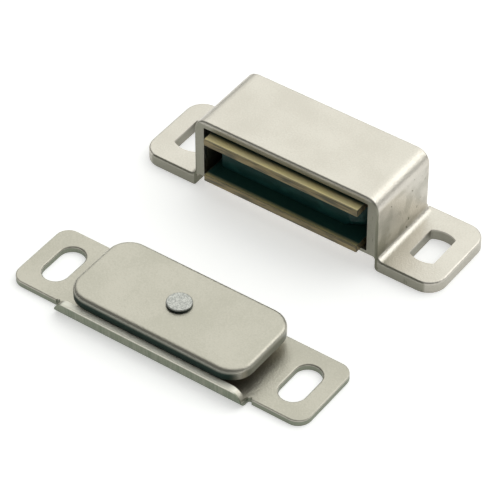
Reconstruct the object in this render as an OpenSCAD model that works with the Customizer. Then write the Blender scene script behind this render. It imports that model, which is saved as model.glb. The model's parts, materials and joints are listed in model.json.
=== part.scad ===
// Magnetic catch in two halves, as laid out before fitting: a cast housing that
// holds a magnet between two pole plates, and a strike whose pad rocks on one
// shouldered rivet. Millimetres, +Z up, mounting faces at z = 0, the mouth faces -Y.

/* [Layout] */
// Clear distance from the back of the strike to the front of the housing
halves_gap = 21.95; // [4:0.05:60]

/* [Housing] */
// Overall length over both flanges
housing_l = 60; // [54:0.5:80]
// Thickness of the flanges
flange_t = 2.2; // [1.6:0.1:2.6]
// Corner radius of the flanges
flange_r = 3.5; // [1:0.1:5]
// How far the flanges stand out behind the box
back_step = 1.2; // [0.2:0.1:4]
// Width of the box
box_w = 37; // [30:0.5:39]
// Depth of the box, front to back
box_d = 15.6; // [14:0.1:24]
// Thickness of the side walls
wall_t = 2; // [1.2:0.1:3]
// Thickness of the roof
roof_t = 1.4; // [1:0.1:3]
// Thickness of the floor
floor_t = 0.65; // [0.5:0.05:1.5]
// Thickness of the back wall
back_t = 2; // [1:0.1:3]
// Radius of the bends between the walls and the roof
roof_r = 2.5; // [1:0.1:4]
// Height of the underside of the box above the mounting face
under_h = 2.85; // [2.7:0.05:5]
// How far the flanges reach in under the walls
flange_lap = 0.3; // [0.2:0.05:1.5]
// Radius of the fillet between each wall and its flange
root_r = 1.2; // [0.6:0.1:1.5]
// Radius of the fillet under the box at each flange
under_r = 0.5; // [0.2:0.05:0.8]
// Round along the inner bottom edge of each flange
toe_r = 0.75; // [0.3:0.05:1.2]
// Round along the outer edges of the casting
cast_edge = 0.4; // [0.2:0.05:0.6]

/* [Housing slots] */
// Distance between the centres of the two slots
slot_pitch = 48.3; // [48:0.1:60]
// Width of a slot, along the housing
slot_w = 4.85; // [3:0.05:5]
// Length of a slot, across the housing
slot_l = 8.25; // [6:0.05:10]
// Radius of the shallow arc at each end of a slot
slot_end_r = 4.6; // [3.6:0.1:8]
// Radius in the corners of a slot
slot_corner_r = 0.6; // [0.2:0.05:1]

/* [Magnet and pole plates] */
// Thickness of each pole plate
pole_t = 1.4; // [0.8:0.1:2.5]
// Height of the magnet between the plates
magnet_h = 6.5; // [3:0.1:10]
// Clear height between the upper plate and the roof
pack_top_gap = 0.9; // [0.1:0.1:2]
// Clear distance from each end of the plates to the wall
pack_side_gap = 1.1; // [0.1:0.1:3]
// How far the plates stand out of the mouth
pole_out = 1.5; // [0:0.1:4]
// How far the magnet sits back from the mouth
magnet_in = 1.95; // [0:0.05:5]
// How far the magnet ends inside the ends of the plates
magnet_inset = 1.15; // [0:0.05:3]
// Round along the front edges of the plates
pole_edge = 0.2; // [0.05:0.05:0.4]

/* [Strike] */
// Length of the strike over both tabs
strike_l = 58.5; // [56:0.5:80]
// Depth of the tabs
strike_d = 15; // [12:0.1:24]
// Sheet thickness
sheet_t = 1.2; // [0.8:0.1:2]
// Corner radius of the tabs
tab_r = 2.5; // [1:0.1:5]
// Round along the top edge of the tabs
sheet_edge = 0.2; // [0.05:0.05:0.4]
// Distance between the centres of the two slots
tab_pitch = 47.5; // [47:0.1:60]
// Width of a slot, along the strike
tab_slot_w = 4.8; // [3:0.05:5]
// Length of a slot, across the strike
tab_slot_l = 8.9; // [6:0.05:10]
// Round along the upper rim of a slot
tab_slot_edge = 0.3; // [0.1:0.05:0.4]
// Length of the folded front lip
lip_l = 37.5; // [30:0.5:39]
// How far the lip stands out in front of the tabs
lip_out = 1.75; // [1.5:0.05:4]
// Height of the lip above the mounting face
lip_h = 2.9; // [2.6:0.05:6]
// Radius of the top corners at the ends of the lip
lip_end_r = 2.6; // [0.6:0.1:2.8]
// Radius inside the fold of the lip
fold_r = 0.2; // [0.1:0.05:0.6]
// Radius of the relief notch beside each end of the lip
notch_r = 0.4; // [0.2:0.05:0.6]

/* [Pad] */
// Thickness of the pad
pad_t = 2.1; // [1:0.1:4]
// Clear height between the lip and the pad
pad_gap = 0.25; // [0.2:0.05:1]
// How far the pad reaches over the lip
pad_lap = 0.15; // [0:0.05:1]
// How far the pad ends inside the ends of the lip
pad_inset = 1.3; // [0:0.1:5]
// Corner radius of the pad
pad_r = 4.2; // [1:0.1:7]
// Round along the top edge of the pad
pad_edge = 0.8; // [0.2:0.05:0.95]

/* [Rivet] */
// Diameter of the shank
rivet_d = 3; // [2:0.1:4]
// Diameter of the heads
head_d = 4.4; // [4.1:0.1:6]
// Thickness of the upper head
head_t = 0.5; // [0.3:0.05:1.5]
// Round along the rim of the upper head
head_edge = 0.25; // [0.05:0.05:0.28]
// Depth of the countersunk lower head
sink_h = 0.7; // [0.3:0.05:0.75]
// Diameter of the shoulder between the base and the pad
shoulder_d = 5; // [4.2:0.1:8]
// Clear height between the shoulder and the pad
shoulder_gap = 0.1; // [0.08:0.02:0.5]
// Clear height under the upper head, which lets the pad rock
head_gap = 0.1; // [0.06:0.02:0.5]
// Clearance round the shank in the pad
shank_gap = 0.15; // [0.1:0.05:0.4]

/* [Hidden] */
$fn = 64;
cut = 1; // overrun of every cutting tool

// Housing, from its own front plane at y = 0
wall_x = box_w / 2;
flange_x = wall_x - flange_lap;
flange_d = box_d + back_step;
mouth_w = box_w - 2 * wall_t;
mouth_d = box_d - back_t;
floor_z = under_h + floor_t;
mouth_h = 2 * pole_t + magnet_h + pack_top_gap;
roof_z = floor_z + mouth_h;
box_h = roof_z + roof_t;
pole_l = mouth_w - 2 * pack_side_gap;
magnet_l = pole_l - 2 * magnet_inset;
magnet_z = floor_z + pole_t;
upper_z = magnet_z + magnet_h;

// Strike, from the centre of its tabs
lip_y = -strike_d / 2 - lip_out;                   // outer face of the lip
pad_z = lip_h + pad_gap;
pad_l = lip_l - 2 * pad_inset;
pad_d = strike_d + 2 * (lip_out - sheet_t + pad_lap);
head_z = pad_z + pad_t + head_gap;
shoulder_z = pad_z - shoulder_gap;

// Both halves, centred together on the origin
set_d = lip_out + strike_d + halves_gap + flange_d;
strike_y = lip_out + (strike_d - set_d) / 2;
front_y = set_d / 2 - flange_d;

// Profile extruded along Y from y0 to y1, its own x and y lying along X and Z
module along_y(y0, y1) {
  translate([0, y1, 0]) rotate([90, 0, 0]) linear_extrude(y1 - y0) children();
}

// Profile extruded along X over a length l about x = 0, lying along Y and Z
module along_x(l) {
  translate([-l / 2, 0, 0]) rotate([90, 0, 90]) linear_extrude(l) children();
}

// What a round of radius r takes off a corner at the origin, with the material
// on the side of negative x and y
module cove(r) {
  difference() {
    translate([-r, -r]) square([r + cut / 2, r + cut / 2]);
    translate([-r, -r]) circle(r);
  }
}

// Upright outline with both top corners rounded
module arch(w, z0, z1, r) {
  translate([-w / 2, z0]) square([w, z1 - z0 - r]);
  translate([r - w / 2, z0]) square([w - 2 * r, z1 - z0]);
  for (s = [-1, 1]) translate([s * (w / 2 - r), z1 - r]) circle(r);
}

// Flat plate about the Z axis with round corners r and a rounded top edge e
module plate(l, d, t, r, e) {
  module rim() {
    difference() {
      square([r, t]);
      translate([r, t]) cove(e);
    }
  }
  cx = l / 2 - r;
  cy = d / 2 - r;
  translate([-cx, -cy, 0]) cube([2 * cx, 2 * cy, t]);
  for (s = [0, 180]) rotate([0, 0, s]) {
    translate([cx, cy, 0]) rotate([90, 0, 0]) linear_extrude(2 * cy) rim();
    translate([-cx, cy, 0]) rotate([90, 0, 90]) linear_extrude(2 * cx) rim();
    translate([cx, cy, 0]) rotate_extrude(angle = 90) rim();
    translate([-cx, cy, 0]) rotate([0, 0, 90]) rotate_extrude(angle = 90) rim();
  }
}

// Straight screw slot along Y with full round ends and a rounded upper rim e
module round_slot(w, l, h, e) {
  run = l - w;
  translate([-w / 2, -run / 2, -cut]) cube([w, run, h + 2 * cut]);
  for (s = [0, 180]) rotate([0, 0, s]) {
    translate([0, run / 2, -cut]) cylinder(d = w, h = h + 2 * cut);
    translate([0, run / 2, h]) rotate_extrude(angle = 180)
      translate([w / 2, 0]) scale([-1, 1]) cove(e);
    translate([w / 2, run / 2, h]) rotate([90, 0, 0]) linear_extrude(run) scale([-1, 1]) cove(e);
  }
}

// Screw slot along Y with straight sides, shallow arcs for ends and round corners
module cast_slot(h) {
  end_y = slot_l / 2 - slot_end_r;                  // centre of an end arc
  side_x = slot_w / 2 - slot_corner_r;              // centre of a corner round
  corner_y = end_y + sqrt(pow(slot_end_r - slot_corner_r, 2) - pow(side_x, 2));
  k = slot_end_r / (slot_end_r - slot_corner_r);    // from corner centre to tangent
  translate([0, 0, -cut]) linear_extrude(h + 2 * cut) {
    square([slot_w, 2 * corner_y], center = true);
    for (s = [-1, 1]) scale([1, s]) {
      intersection() {
        translate([0, end_y]) circle(slot_end_r);
        translate([0, end_y]) polygon([[0, 0], 2 * k * [side_x, corner_y - end_y],
                                       2 * k * [-side_x, corner_y - end_y]]);
      }
      for (t = [-1, 1]) translate([t * side_x, corner_y]) circle(slot_corner_r);
    }
  }
}

// Section of the open space under the box, between the flanges
module under_space() {
  translate([0, -cut]) arch(2 * flange_x, 0, under_h + cut, under_r);
  for (s = [-1, 1]) scale([s, 1]) difference() {
    translate([flange_x - cut, -cut]) square([cut + toe_r, cut + toe_r]);
    translate([flange_x + toe_r, toe_r]) circle(toe_r);
    translate([flange_x + toe_r, -cut]) square(2 * cut);
  }
}

// Fillet between a wall and its flange, for the wall on the side of positive x
module root_fillet() {
  difference() {
    translate([flange_x, flange_t - cut]) square([wall_x + root_r - flange_x, root_r + cut]);
    translate([wall_x + root_r, flange_t + root_r]) circle(root_r);
  }
}

// Tool that rounds the outer edge of the box along walls, bends and roof, on the
// face at y = 0 with the box behind it
module box_edge() {
  rise = box_h - roof_r - flange_t - root_r;
  for (s = [0, 1]) mirror([s, 0, 0]) {
    translate([wall_x, 0, flange_t + root_r]) linear_extrude(rise) scale([1, -1]) cove(cast_edge);
    translate([wall_x - roof_r, 0, box_h - roof_r]) rotate([90, 0, 0])
      rotate_extrude(angle = 90) translate([roof_r, 0]) cove(cast_edge);
  }
  translate([0, 0, box_h]) along_x(box_w - 2 * roof_r) scale([-1, 1]) cove(cast_edge);
}

// The same round carried through the root fillet on the front face
module root_edge() {
  for (s = [0, 1]) mirror([s, 0, 0])
    translate([wall_x + root_r, 0, flange_t + root_r]) rotate([90, 180, 0])
      rotate_extrude(angle = 90) translate([root_r, 0]) scale([-1, 1]) cove(cast_edge);
}

module housing() color("silver") translate([0, front_y, 0]) {
  difference() {
    union() {
      translate([0, flange_d / 2, 0]) plate(housing_l, flange_d, flange_t, flange_r, cast_edge);
      along_y(0, box_d) {
        arch(box_w, flange_t - cut, box_h, roof_r);
        for (s = [-1, 1]) scale([s, 1]) root_fillet();
      }
    }
    along_y(-cut, flange_d + cut) under_space();
    translate([-mouth_w / 2, -cut, floor_z]) cube([mouth_w, mouth_d + cut, mouth_h]);
    box_edge();
    root_edge();
    translate([0, box_d, 0]) mirror([0, 1, 0]) box_edge();
    for (s = [-1, 1]) translate([s * slot_pitch / 2, flange_d / 2, 0]) cast_slot(flange_t);
  }
}

// Pole plate lying at height z, with both front edges rounded
module pole_plate(z) {
  translate([0, front_y, z]) along_x(pole_l) difference() {
    translate([-pole_out, 0]) square([mouth_d + pole_out, pole_t]);
    translate([-pole_out, pole_t]) scale([-1, 1]) cove(pole_edge);
    translate([-pole_out, 0]) scale([-1, -1]) cove(pole_edge);
  }
}

module magnet() color("dimgray") translate([-magnet_l / 2, front_y + magnet_in, magnet_z])
  cube([magnet_l, mouth_d - magnet_in, magnet_h]);

module upper_pole_plate() color("goldenrod") pole_plate(upper_z);

module lower_pole_plate() color("darkgoldenrod") pole_plate(floor_z);

// Section of the folded middle part, from the lip to the middle of the base
module fold() {
  out_r = fold_r + sheet_t;
  translate([lip_y + out_r, 0]) square([-lip_y - out_r, sheet_t]);
  translate([lip_y, out_r]) square([sheet_t, lip_h - out_r]);
  translate([lip_y + out_r, out_r]) difference() {
    intersection() {
      circle(out_r);
      translate([-out_r, -out_r]) square(out_r);
    }
    circle(fold_r);
  }
}

module strike_base() color("lightgray") translate([0, strike_y, 0]) {
  difference() {
    union() {
      plate(strike_l, strike_d, sheet_t, tab_r, sheet_edge);
      intersection() {
        along_x(lip_l) fold();
        along_y(lip_y - cut, cut) arch(lip_l, -cut, lip_h, lip_end_r);
      }
    }
    for (s = [-1, 1]) {
      translate([s * tab_pitch / 2, 0, 0]) round_slot(tab_slot_w, tab_slot_l, sheet_t, tab_slot_edge);
      translate([s * (lip_l / 2 + notch_r), -strike_d / 2, -cut])
        cylinder(r = notch_r, h = lip_h + 2 * cut);
    }
    translate([0, 0, -cut]) cylinder(d = rivet_d, h = sheet_t + 2 * cut);
    cylinder(d1 = head_d, d2 = rivet_d, h = sink_h);
  }
}

module strike_pad() color("gainsboro") translate([0, strike_y, pad_z]) difference() {
  plate(pad_l, pad_d, pad_t, pad_r, pad_edge);
  translate([0, 0, -cut]) cylinder(d = rivet_d + 2 * shank_gap, h = pad_t + 2 * cut);
}

module rivet() color("darkgray") translate([0, strike_y, 0]) rotate_extrude() {
  polygon([[0, 0], [head_d / 2, 0], [rivet_d / 2, sink_h], [rivet_d / 2, sheet_t],
           [shoulder_d / 2, sheet_t], [shoulder_d / 2, shoulder_z], [rivet_d / 2, shoulder_z],
           [rivet_d / 2, head_z + head_t / 2], [0, head_z + head_t / 2]]);
  difference() {
    translate([0, head_z]) square([head_d / 2, head_t]);
    translate([head_d / 2, head_z + head_t]) cove(head_edge);
  }
}

housing();
magnet();
upper_pole_plate();
lower_pole_plate();
strike_base();
strike_pad();
rivet();
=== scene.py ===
import json
import math
import bpy
import bmesh
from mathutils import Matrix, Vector


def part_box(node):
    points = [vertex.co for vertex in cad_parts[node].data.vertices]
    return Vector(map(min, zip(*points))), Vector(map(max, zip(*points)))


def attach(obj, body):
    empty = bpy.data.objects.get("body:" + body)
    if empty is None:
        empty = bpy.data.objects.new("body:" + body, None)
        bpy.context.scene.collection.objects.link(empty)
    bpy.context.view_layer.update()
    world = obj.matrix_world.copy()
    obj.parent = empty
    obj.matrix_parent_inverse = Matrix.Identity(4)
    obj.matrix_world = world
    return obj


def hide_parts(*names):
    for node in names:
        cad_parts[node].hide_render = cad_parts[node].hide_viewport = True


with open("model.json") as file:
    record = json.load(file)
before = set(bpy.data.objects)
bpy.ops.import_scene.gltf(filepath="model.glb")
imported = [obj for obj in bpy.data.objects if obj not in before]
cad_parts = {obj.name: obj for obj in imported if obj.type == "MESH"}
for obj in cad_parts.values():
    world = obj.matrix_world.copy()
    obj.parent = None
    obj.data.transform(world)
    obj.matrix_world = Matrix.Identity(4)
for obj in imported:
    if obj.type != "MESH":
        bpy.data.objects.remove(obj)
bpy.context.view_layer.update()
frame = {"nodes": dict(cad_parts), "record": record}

# ---------------------------------------------------------------------------
# Housing: one zinc casting, tumbled and then nickel plated to a satin finish.
# It stands on two slotted feet, and its box is open to the front.
# ---------------------------------------------------------------------------
MM = 0.001


def box_mm(node):
    """The lowest and the highest corner of a CAD node, in millimetres."""
    return [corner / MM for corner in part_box(node)]


mouth = box_mm("housing")[0].y                       # front faces of the walls and feet
wall_out, wall_in = 18.5, 16.5                       # faces of each side wall, from the middle
roof_under = box_mm("housing")[1].z - 1.4
floor_top = box_mm("lower_pole_plate")[0].z          # the lower plate lies on the floor
back_in = box_mm("magnet")[1].y                      # the magnet ends at the back wall
foot_top = 2.2
slot_width, slot_length = 4.85, 8.25
slot_centre = next(Vector(mount["pos_m"]) / MM for mount in frame["record"]["mounts"]
                   if mount["name"] == "housing_slot_right")


class Term:
    """A shader socket in a sum: each operator adds a Math node."""

    def __init__(self, tree, socket):
        self.tree, self.socket = tree, socket

    def _math(self, operation, *values):
        return self.tree.add("ShaderNodeMath", {"operation": operation}, dict(enumerate(values)))

    def __add__(self, other):
        return self._math("ADD", self, other)

    def __radd__(self, other):
        return self._math("ADD", other, self)

    def __sub__(self, other):
        return self._math("SUBTRACT", self, other)

    def __rsub__(self, other):
        return self._math("SUBTRACT", other, self)

    def __mul__(self, other):
        return self._math("MULTIPLY", self, other)

    def __rmul__(self, other):
        return self._math("MULTIPLY", other, self)

    def __abs__(self):
        return self._math("ABSOLUTE", self)

    def between(self, low, high):
        """0 below low, 1 above high, smooth between them."""
        return self.tree.add("ShaderNodeMapRange", {"interpolation_type": "SMOOTHSTEP"},
                             {"Value": self, "From Min": low, "From Max": high})

    def within(self, low, high, soft=0.05):
        """1 from low to high, falling to 0 over soft on either side."""
        return self.between(low - soft, low) * (1 - self.between(high, high + soft))


class Tree:
    """A node tree that grows by one node at a time."""

    def __init__(self, node_tree):
        self.nodes, self.links = node_tree.nodes, node_tree.links

    def add(self, kind, settings=None, inputs=None, out=0):
        """Adds a node: its settings first, then the values and links of its sockets."""
        node = self.nodes.new(kind)
        for key, value in (settings or {}).items():
            setattr(node, key, value)
        for key, value in (inputs or {}).items():
            self.put(node.inputs[key], value)
        return Term(self, node.outputs[out])

    def put(self, socket, value):
        """Links a term to a socket, or sets a number, a vector or a colour on it."""
        if isinstance(value, Term):
            self.links.new(value.socket, socket)
        elif socket.type == "RGBA":
            socket.default_value = (*value, 1)
        else:
            socket.default_value = value

    def blend(self, mask, first, second):
        """The first colour where the mask is 0, the second where it is 1."""
        return self.add("ShaderNodeMix", {"data_type": "RGBA"},
                        {"Factor": mask, 6: first, 7: second}, 2)


class Finish(Tree):
    """A material with one Principled shader, on Object coordinates in millimetres."""

    def __init__(self, name, **fixed):
        self.material = bpy.data.materials.new(name)
        self.material.use_nodes = True
        super().__init__(self.material.node_tree)
        self.shader = self.nodes["Principled BSDF"]
        self.finish(**fixed)
        self.place = self.add("ShaderNodeVectorMath", {"operation": "SCALE"},
                              {0: self.add("ShaderNodeTexCoord", out="Object"), "Scale": 1 / MM})

    def axis(self, name):
        """How far along X, Y or Z."""
        return self.add("ShaderNodeSeparateXYZ", None, {0: self.place}, name)

    def noise(self, size, detail=2, stretch=(1, 1, 1), shift=0):
        """Noise whose spots are about size millimetres across."""
        spot = self.add("ShaderNodeVectorMath", {"operation": "MULTIPLY_ADD"},
                        {0: self.place, 1: stretch, 2: (shift, 0, 0)})
        return self.add("ShaderNodeTexNoise", None,
                        {"Vector": spot, "Scale": 1 / size, "Detail": detail})

    def bump(self, height, depth):
        """Relief of the given depth in millimetres."""
        return self.add("ShaderNodeBump", None,
                        {"Strength": 1.0, "Distance": depth * MM, "Height": height})

    def finish(self, **sockets):
        """Sets or links sockets of the shader, named with underscores for spaces."""
        for name, value in sockets.items():
            self.put(self.shader.inputs[name.replace("_", " ")], value)
        return self.material


def satin_nickel(name, colours, relief, marks_and_shade, bare_and_shade, highlighted=None):
    """Fine matt grain over a soft swell of relief millimetres, in two close colours.

    The given masks are made from the finish: one covers worn or thin plating and painted
    shade, where the darker colour shows; the other, if given, edges with a painted highlight."""
    nickel = Finish(name, Metallic=1.0)
    cloud = nickel.noise(7, 3)
    grain = nickel.noise(0.28, 2, shift=7)
    swell = nickel.noise(0.6, 2, shift=3)
    flaw_and_shade = marks_and_shade(nickel)
    tone = nickel.blend((0.5 * cloud + 0.5 * grain).between(0.38, 0.62), *colours)
    tone = nickel.blend(flaw_and_shade, tone, bare_and_shade)
    roughness = 0.34 + 0.12 * (grain - 0.5) + 0.08 * (cloud - 0.5) + 0.2 * flaw_and_shade
    # A painted highlight, near white, on the chosen edges.
    if highlighted:
        highlight = highlighted(nickel)
        tone = nickel.blend(highlight, tone, (0.95, 0.93, 0.85))
        roughness = roughness + 0.3 * highlight
    return nickel.finish(Base_Color=tone, Roughness=roughness,
                         Normal=nickel.bump(grain + 0.4 * swell - 0.6 * flaw_and_shade, relief))


def dress(node, material):
    """Gives a CAD node one material."""
    piece = frame["nodes"][node]
    for slot in piece.material_slots:
        slot.material = material
    if not piece.material_slots:
        piece.data.materials.append(material)


def housing_marks_and_shade(nickel):
    """Pits on the right wall, which is painted darker with patches of painted reflection;
    painted shade on the front faces, low on the walls and in the box; short scratches on the
    right leg;
    darker faces below the feet's tops; slot walls darker from thin plating and painted shade."""
    across, along, up = (nickel.axis(name) for name in "XYZ")
    outward = abs(across)

    pits = nickel.noise(1.3, 1, shift=31).between(0.70, 0.74)
    # The right wall is painted a little darker all over as shade, with soft patches of painted
    # reflection.
    wall_shade = 0.16 + 0.34 * nickel.noise(3.5, 2, shift=17).between(0.42, 0.60)
    right_wall_pits_and_shade = across.within(wall_out - 0.05, wall_out + 0.1, 0.1) * (pits + wall_shade)

    # The front faces are painted darker as shade, more above the feet than on them.
    rim = 1 - along.between(mouth + 0.15, mouth + 0.35)
    rim_above_feet = up.within(foot_top - 0.1, roof_under + 0.6, 0.3)
    scratches = nickel.noise(0.55, 2, stretch=(1.6, 1, 0.3), shift=12).between(0.62, 0.70)
    right_leg = across.between(wall_in + 0.5, wall_in + 0.8) * rim * scratches
    below_bend = 1 - up.between(roof_under - 1.7, roof_under - 0.7)

    # Painted shade low on the outer walls, strongest at the front.
    low_wall_shade = (outward.within(wall_out - 0.3, wall_out + 0.1, 0.1)
                 * (1 - up.between(foot_top + 0.8, roof_under + 0.3))
                 * (1 - along.between(mouth - 0.95, back_in + 2.45)))
    # The faces below the tops of the feet are darker.
    feet = 1 - up.between(foot_top - 0.6, foot_top - 0.1)
    # Painted shade in the box, behind the mouth.
    box_shade = ((1 - outward.between(wall_in + 0.05, wall_in + 0.15))
              * along.within(mouth + 1.05, back_in + 0.15, 0.5)
              * up.within(floor_top - 0.1, roof_under + 0.05))
    # The slot walls are darker, partly from thin plating and partly as painted shade.
    slots = (outward.within(slot_centre.x - slot_width / 2, slot_centre.x + slot_width / 2)
             * along.within(slot_centre.y - slot_length / 2, slot_centre.y + slot_length / 2)
             * (1 - up.between(foot_top - 0.15, foot_top - 0.05)))

    return (rim * (0.4 + 0.4 * rim_above_feet) + 0.6 * below_bend * (right_wall_pits_and_shade + right_leg)
            + 0.6 * low_wall_shade + 0.4 * feet + 0.95 * box_shade + 0.3 * slots)


dress("housing", satin_nickel("housing_nickel", relief=0.05, marks_and_shade=housing_marks_and_shade,
                              colours=((0.66, 0.625, 0.565), (0.61, 0.575, 0.515)),
                              bare_and_shade=(0.21, 0.21, 0.16)))

# ---------------------------------------------------------------------------
# Magnet: a sintered ferrite block, dark and dull, held between the pole plates
# and set back from the mouth. Its lower right front corner is broken off.
# ---------------------------------------------------------------------------
edge_wear = 0.2
# A point of each break, in millimetres from the corner, and the way the break faces
breaks = (((-1.9, 0, 0.9), (0.62, -0.74, 0.26)),
          ((-2.6, 0, 0.7), (0.46, -0.72, -0.52)))


def put_in_scene(name, shape, material):
    """Turns a bmesh into an object with one material."""
    mesh = bpy.data.meshes.new(name)
    shape.to_mesh(mesh)
    shape.free()
    mesh.materials.append(material)
    thing = bpy.data.objects.new(name, mesh)
    bpy.context.scene.collection.objects.link(thing)
    return thing


ferrite = Finish("ferrite", Metallic=0.0)
dust = ferrite.noise(0.3, 3)
tear = ferrite.noise(2.2, 3, stretch=(0.5, 1, 1), shift=4)
ferrite_black = ferrite.finish(
    Base_Color=ferrite.blend(tear.between(0.45, 0.7),
                             (0.006, 0.060, 0.056), (0.022, 0.115, 0.108)),
    Roughness=0.35 + 0.2 * dust,
    Normal=ferrite.bump(dust + 2 * tear, 0.05))

low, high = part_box("magnet")
block = bmesh.new()
bmesh.ops.create_cube(block, size=1)
bmesh.ops.scale(block, vec=high - low, verts=block.verts)
bmesh.ops.translate(block, vec=(low + high) / 2, verts=block.verts)
broken_corner = Vector((high.x, low.y, low.z))
for start, outwards in breaks:
    bmesh.ops.bisect_plane(block, geom=block.verts[:] + block.edges[:] + block.faces[:],
                           plane_co=broken_corner + Vector(start) * MM, plane_no=outwards,
                           clear_outer=True)
    bmesh.ops.holes_fill(block, edges=[edge for edge in block.edges if edge.is_boundary])
bmesh.ops.bevel(block, geom=block.edges[:], offset=edge_wear * MM, offset_type="OFFSET",
                affect="EDGES", segments=2, profile=0.5, material=-1)
magnet_block = put_in_scene("magnet_block", block, ferrite_black)
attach(magnet_block, "fixed_parts")
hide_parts("magnet")

# ---------------------------------------------------------------------------
# Pole plates: sheet steel, zinc plated and yellow passivated, one below and one
# above the magnet. Their sheared edges are brown.
# ---------------------------------------------------------------------------
plate_low, plate_high = box_mm("upper_pole_plate")
passivated = Finish("yellow_passivated_steel", Metallic=0.6)
inward = passivated.axis("Y") - plate_low.y          # how far in from the front edge
behind_edge = inward.between(0.02, 0.10)
ends = abs(passivated.axis("X")).between(plate_high.x - 0.06, plate_high.x - 0.02)
lower_plate = 1 - passivated.axis("Z").between(7, 9) # 1 on the lower plate, 0 on the upper
streak = passivated.noise(0.5, 3, stretch=(0.12, 1, 1))
bloom = passivated.noise(2.2, 2, stretch=(0.4, 1, 1), shift=5)
yellow = passivated.blend(bloom.between(0.3, 0.7), (1.0, 0.86, 0.44), (0.90, 0.78, 0.46))
sheared = passivated.blend(streak.between(0.35, 0.65),
                           (0.36, 0.285, 0.155), (0.16, 0.145, 0.10))
# The yellow is painted dark teal as shade deeper in the mouth, sooner on the lower plate,
# which lies under the upper one, and a dark line runs along behind each front edge.
film_and_shade = passivated.blend((inward + lower_plate).between(1.2, 2.2), yellow, (0.03, 0.11, 0.10))
film_and_shade = passivated.blend(1 - behind_edge * (1 - ends), film_and_shade, sheared)
film_and_shade = passivated.blend(0.75 * behind_edge * (1 - inward.between(0.10, 0.26)), film_and_shade,
                        (0.10, 0.115, 0.11))
passivated_steel = passivated.finish(
    Base_Color=film_and_shade,
    Roughness=0.46 + 0.12 * streak,
    Normal=passivated.bump(streak, 0.012))
dress("upper_pole_plate", passivated_steel)
dress("lower_pole_plate", passivated_steel)

# ---------------------------------------------------------------------------
# Strike base: sheet steel, punched, with one lip folded up along its front, and
# nickel plated like the housing. It lies flat on the door under two screws.
# ---------------------------------------------------------------------------
lip_face, lip_top = box_mm("strike_base")[0].y, box_mm("strike_base")[1].z
sheet = 1.2


def strike_marks_and_shade(nickel):
    """The lip's outer face, painted darker as shade over fine upright lines from the folding
    tool, and the punched edges below the sheet's top, which are darker."""
    lines = nickel.noise(0.3, 2, stretch=(1, 0.2, 0.06), shift=21)
    # The lip's outer face is painted darker as shade; the upright lines in it are real.
    fold = 1 - nickel.axis("Y").between(lip_face + 0.1, lip_face + 0.4)
    # The punched edges below the sheet's top are darker.
    punched = 1 - nickel.axis("Z").between(sheet - 0.35, sheet - 0.25)
    return (0.75 + 0.5 * (lines - 0.5)) * fold + 0.7 * punched


def lip_top_highlight(nickel):
    """The lip's top edge, given a painted highlight."""
    return nickel.axis("Z").between(lip_top - 0.4, lip_top - 0.1)


dress("strike_base", satin_nickel("strike_nickel", relief=0.05, marks_and_shade=strike_marks_and_shade,
                                  colours=((0.51, 0.485, 0.42), (0.465, 0.445, 0.38)),
                                  bare_and_shade=(0.15, 0.185, 0.13), highlighted=lip_top_highlight))

# ---------------------------------------------------------------------------
# Pad: thick steel plate with round corners, which rocks on the rivet. Its edge below the
# top is painted dark as shade, nearly black along the front over the lip, less at the ends.
# ---------------------------------------------------------------------------
pad_low, pad_high = box_mm("strike_pad")


def pad_shade(nickel):
    """Painted shade on the edge below the top: dark along the front, over the lip, less at the
    ends.
    """
    shaded_front_edge = 1 - nickel.axis("Y").between(pad_low.y + 0.4, pad_low.y + 2.4)
    shaded_end_edges = abs(nickel.axis("X")).between(pad_high.x - 0.5, pad_high.x - 0.1)
    below_top = 1 - nickel.axis("Z").between(pad_low.z + 0.95, pad_high.z + 0.05)
    return below_top * (shaded_front_edge + 0.6 * shaded_end_edges)


dress("strike_pad", satin_nickel("pad_nickel", relief=0.04, marks_and_shade=pad_shade,
                                 colours=((0.52, 0.495, 0.43), (0.475, 0.455, 0.39)),
                                 bare_and_shade=(0.025, 0.045, 0.038)))

# ---------------------------------------------------------------------------
# Rivet: bare steel with a shoulder that carries the pad. The riveting tool peens its upper
# end flat, which leaves the top dented; the side of the head is painted dark as shade.
# ---------------------------------------------------------------------------
head_top = box_mm("rivet")[1].z
peened = Finish("peened_steel", Metallic=1.0)
dents = peened.noise(0.24, 2)
dented = peened.blend(dents.between(0.34, 0.66), (0.34, 0.345, 0.33), (0.60, 0.60, 0.57))
# Painted shade on the side of the head.
dress("rivet", peened.finish(
    Base_Color=peened.blend(peened.axis("Z").between(head_top - 0.35, head_top - 0.1),
                            (0.05, 0.07, 0.065), dented),
    Roughness=0.3 + 0.2 * dents,
    Normal=peened.bump(dents, 0.05)))

# ---------------------------------------------------------------------------
# Stage: a plain white floor, a studio that is bright above and behind, one large
# soft lamp at the back on the right, and the camera. Distances are in metres.
# ---------------------------------------------------------------------------
floor_reach, floor_drop = 4, 0.05 * MM
softbox_place = (0.38, 0.48, 0.50)
softbox_width, softbox_height = 0.60, 0.44
softbox_watts = 0.64
azimuth, elevation, distance = math.radians(35.4), math.radians(43), 0.487
aim = Vector((0.0005, 0.0004, 0.003))
lens_length, film_width = 212.5, 36                  # both in millimetres

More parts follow.
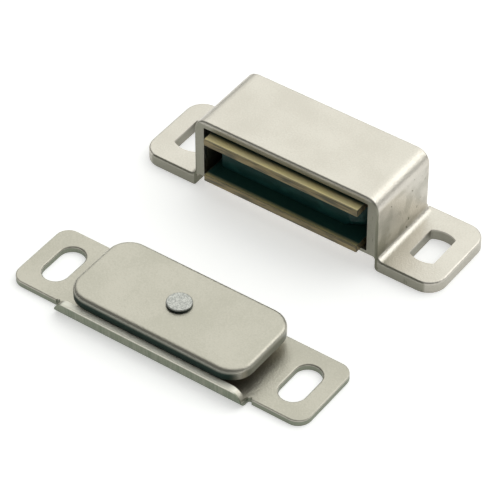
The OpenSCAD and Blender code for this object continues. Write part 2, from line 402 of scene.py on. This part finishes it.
# The floor is white to the camera and in reflections. What matt faces pick up from
# it is grey, and dimmer in front, which keeps the mouth dark.
paper = Finish("pale_paper", Metallic=0.0, Roughness=0.9, Specular_IOR_Level=0.0,
               Emission_Strength=1.0)
seen = (paper.add("ShaderNodeLightPath", out="Is Camera Ray")
        + paper.add("ShaderNodeLightPath", out="Is Transmission Ray")
        + paper.add("ShaderNodeLightPath", out="Is Glossy Ray"))
grey = paper.blend(paper.axis("Y").between(-50, 60), (0.09, 0.12, 0.08), (0.50, 0.51, 0.465))
pale_paper = paper.finish(Base_Color=paper.blend(seen, grey, (0.86, 0.86, 0.86)),
                          Emission_Color=paper.blend(seen, (0, 0, 0), (0.47, 0.47, 0.47)))
ground = bmesh.new()
bmesh.ops.create_grid(ground, x_segments=1, y_segments=1, size=floor_reach)
bmesh.ops.translate(ground, vec=(0, 0, -floor_drop), verts=ground.verts)
put_in_scene("floor", ground, pale_paper)

world = bpy.data.worlds.new("studio")
bpy.context.scene.world = world
world.use_nodes = True
sky = Tree(world.node_tree)
heading = sky.add("ShaderNodeTexCoord", out="Generated")
height = sky.add("ShaderNodeSeparateXYZ", None, {0: heading}, "Z")
rearward = sky.add("ShaderNodeSeparateXYZ", None, {0: heading}, "Y")
glow = (0.6 * height + 0.8 * rearward).between(0.1, 0.9) * height.between(0.05, 0.4)
sky.put(sky.nodes["Background"].inputs["Color"], (0.98, 1.0, 0.96))
sky.put(sky.nodes["Background"].inputs["Strength"], 0.22 + 1.07 * glow)


def stand(name, data, place, target):
    """Puts a lamp or a camera at a place and turns it to face a target."""
    thing = bpy.data.objects.new(name, data)
    thing.location = place
    thing.rotation_mode = "QUATERNION"
    thing.rotation_quaternion = (Vector(target) - Vector(place)).to_track_quat("-Z", "Y")
    bpy.context.scene.collection.objects.link(thing)
    return thing


softbox = bpy.data.lights.new("side_softbox", "AREA")
softbox.shape = "RECTANGLE"
softbox.size, softbox.size_y = softbox_width, softbox_height
softbox.energy = softbox_watts
stand("side_softbox", softbox, softbox_place, (0, 0, 0))

camera = bpy.data.cameras.new("camera")
camera.sensor_width = film_width
camera.lens = lens_length
camera.clip_start, camera.clip_end = 0.01, 20
back = Vector((math.sin(azimuth) * math.cos(elevation),
               -math.cos(azimuth) * math.cos(elevation), math.sin(elevation)))
bpy.context.scene.camera = stand("camera", camera, aim + back * distance, aim)

bpy.context.scene.view_settings.view_transform = "Standard"
